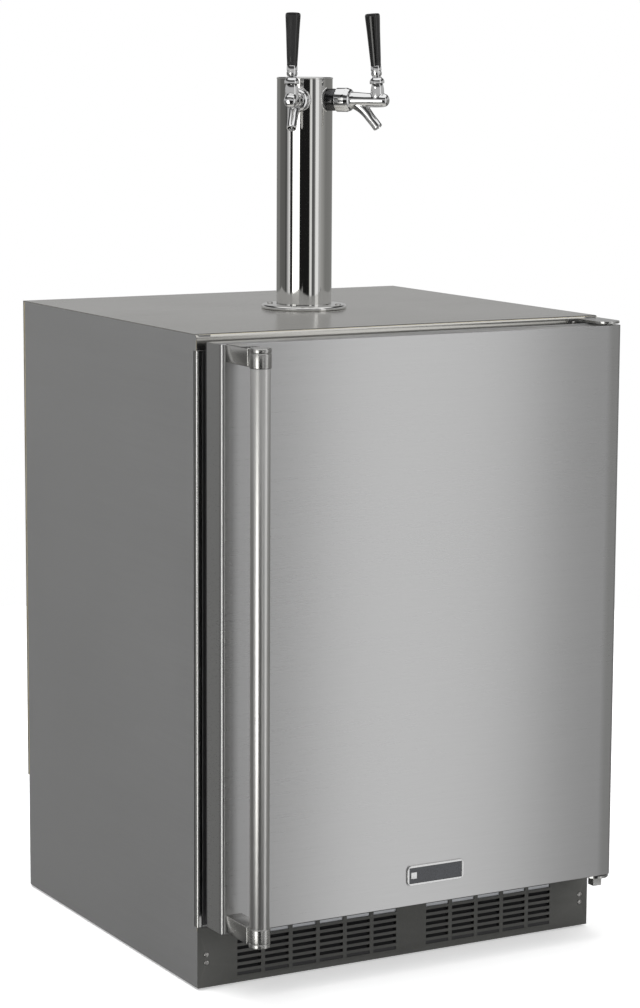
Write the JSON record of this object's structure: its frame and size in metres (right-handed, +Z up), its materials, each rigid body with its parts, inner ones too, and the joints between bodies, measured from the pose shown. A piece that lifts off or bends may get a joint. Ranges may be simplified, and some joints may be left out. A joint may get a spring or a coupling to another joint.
{
  "type": "kegerator",
  "caption": "Under-counter beer dispenser: insulated cabinet with a hinged door and bar handle, a round tap tower with two lever faucets on the roof, gas bottle and cooler inside.",
  "frame": {"origin": "bottom centre of the whole object's box, on the floor between the feet", "axes": "+Z up, -Y towards the user in front of the door, +X to the user's right, where the door hinges are"},
  "size_m": [0.606, 0.6947, 1.2559],
  "materials": {
    "coated_steel": "satin grey coating",
    "galvanised_steel": "plain zinc-coated sheet",
    "grille_black": "dark satin paint",
    "brushed_steel": "brushed stainless steel",
    "badge": "bright framed plain plate",
    "zinc_steel": "zinc plated",
    "screw_steel": "plated screws",
    "polished_steel": "mirror polished",
    "chrome": "chrome plated",
    "shank_collar": "dark chrome",
    "tap_black": "glossy black",
    "valve_steel": "turned stainless",
    "white_liner": "white moulding",
    "door_black": "black moulding",
    "seal_black": "soft black rubber",
    "foam": "foamed in place insulation",
    "bushing": "natural nylon",
    "foot_black": "black moulded foot",
    "fin_aluminium": "thin fins on tubes",
    "fan_plastic": "black moulded blades",
    "motor_steel": "grey motor cans",
    "knob_grey": "dark grey knobs",
    "lamp_lens": "milky lens",
    "gas_aluminium": "brushed aluminium bottle",
    "brass": "machined brass",
    "gauge": "black cases, white dials",
    "compressor_black": "black enamel",
    "copper": "copper tube"
  },
  "bodies": {
    "cabinet": {"side_panels": "coated_steel", "top_panel": "brushed_steel", "rear_panel": "coated_steel", "rear_cover": "galvanised_steel", "cord_gland": "seal_black", "base_pan": "galvanised_steel", "bay_ceiling": "galvanised_steel", "toe_grille": "grille_black", "grille_screws": "screw_steel", "cabinet_liner": "white_liner", "foam_insulation": "foam", "rim_strips": "door_black", "hinge_brackets": "zinc_steel", "hinge_screws": "screw_steel", "evaporator_coil": "fin_aluminium", "evaporator_cover": "white_liner", "fan_motors": "motor_steel", "control_box": "white_liner", "interior_lamp": "lamp_lens", "co2_bracket": "zinc_steel", "co2_cylinder": "gas_aluminium", "co2_valve": "brass", "regulator_body": "brass", "regulator_gauges": "gauge", "compressor": "compressor_black", "refrigerant_line": "copper", "condenser_coil": "fin_aluminium", "condenser_shroud": "galvanised_steel", "drain_pan": "fan_plastic", "tower_flange": "polished_steel", "tower_screws": "screw_steel", "tower_column": "polished_steel", "tower_cap": "polished_steel", "tower_beer_lines": "valve_steel", "faucet_shanks": "shank_collar", "coupling_nuts": "chrome", "faucet_bodies": "chrome"},
    "door": {"door_skin": "brushed_steel", "door_foam": "foam", "door_liner": "door_black", "door_gasket": "seal_black", "handle_bar": "brushed_steel", "handle_brackets": "brushed_steel", "badge_plate": "badge", "hinge_bushings": "bushing"},
    "left_lever": {"left_tap_lever": "chrome", "left_tap_handle": "tap_black"},
    "left_valve_rod": {"left_faucet_shaft": "valve_steel"},
    "right_lever": {"right_tap_lever": "chrome", "right_tap_handle": "tap_black"},
    "right_valve_rod": {"right_faucet_shaft": "valve_steel"},
    "cold_fan": {"evaporator_fan": "fan_plastic"},
    "blower": {"condenser_fan": "fan_plastic"},
    "thermostat": {"thermostat_knob": "knob_grey"},
    "gas_wheel": {"co2_handwheel": "knob_grey"},
    "pressure_knob": {"regulator_knob": "knob_grey"},
    "front_left_foot_body": {"front_left_foot": "foot_black"},
    "front_right_foot_body": {"front_right_foot": "foot_black"},
    "rear_left_foot_body": {"rear_left_foot": "foot_black"},
    "rear_right_foot_body": {"rear_right_foot": "foot_black"}
  },
  "joints": [
    {"name": "door_hinge", "type": "hinge", "parent": "cabinet", "child": "door", "pos_m": [0.285, -0.24563, 0.4689], "axis": [0, 0, 1], "range_deg": [0, 115]},
    {"name": "left_lever_hinge", "type": "hinge", "parent": "cabinet", "child": "left_lever", "pos_m": [-0.06588, -0.01044, 1.1565], "axis": [0.788, -0.6157, 0], "range_deg": [0, 35]},
    {"name": "left_rod_slide", "type": "slide", "parent": "cabinet", "child": "left_valve_rod", "axis": [-0.6157, -0.788, 0], "range_m": [-0.01155, 0.0002]},
    {"name": "right_lever_hinge", "type": "hinge", "parent": "cabinet", "child": "right_lever", "pos_m": [0.06588, -0.01044, 1.1565], "axis": [0.788, 0.6157, 0], "range_deg": [0, 35]},
    {"name": "right_rod_slide", "type": "slide", "parent": "cabinet", "child": "right_valve_rod", "axis": [0.6157, -0.788, 0], "range_m": [-0.01155, 0.0002]},
    {"name": "cold_fan_spin", "type": "hinge", "parent": "cabinet", "child": "cold_fan", "pos_m": [0.052, 0.25538, 0.71], "axis": [0, 1, 0], "continuous": true},
    {"name": "blower_spin", "type": "hinge", "parent": "cabinet", "child": "blower", "pos_m": [-0.127, 0.29037, 0.0872], "axis": [0, 1, 0], "continuous": true},
    {"name": "thermostat_turn", "type": "hinge", "parent": "cabinet", "child": "thermostat", "pos_m": [0.038, -0.17012, 0.792], "axis": [0, -1, 0], "range_deg": [-270, 0]},
    {"name": "gas_wheel_turn", "type": "hinge", "parent": "cabinet", "child": "gas_wheel", "pos_m": [0.19, 0.23237, 0.589], "axis": [0, 0, 1], "range_deg": [0, 540]},
    {"name": "pressure_knob_turn", "type": "hinge", "parent": "cabinet", "child": "pressure_knob", "pos_m": [0.13, 0.19437, 0.565], "axis": [0, -1, 0], "range_deg": [-720, 0]},
    {"name": "front_left_foot_screw", "type": "slide", "parent": "cabinet", "child": "front_left_foot_body", "axis": [0, 0, -1], "range_m": [0, 0.025]},
    {"name": "front_right_foot_screw", "type": "slide", "parent": "cabinet", "child": "front_right_foot_body", "axis": [0, 0, -1], "range_m": [0, 0.025]},
    {"name": "rear_left_foot_screw", "type": "slide", "parent": "cabinet", "child": "rear_left_foot_body", "axis": [0, 0, -1], "range_m": [0, 0.025]},
    {"name": "rear_right_foot_screw", "type": "slide", "parent": "cabinet", "child": "rear_right_foot_body", "axis": [0, 0, -1], "range_m": [0, 0.025]}
  ],
  "couplings": [
    {"joint": "left_rod_slide", "follows": "left_lever_hinge", "m_per_rad": -0.018255},
    {"joint": "right_rod_slide", "follows": "right_lever_hinge", "m_per_rad": -0.018255}
  ]
}
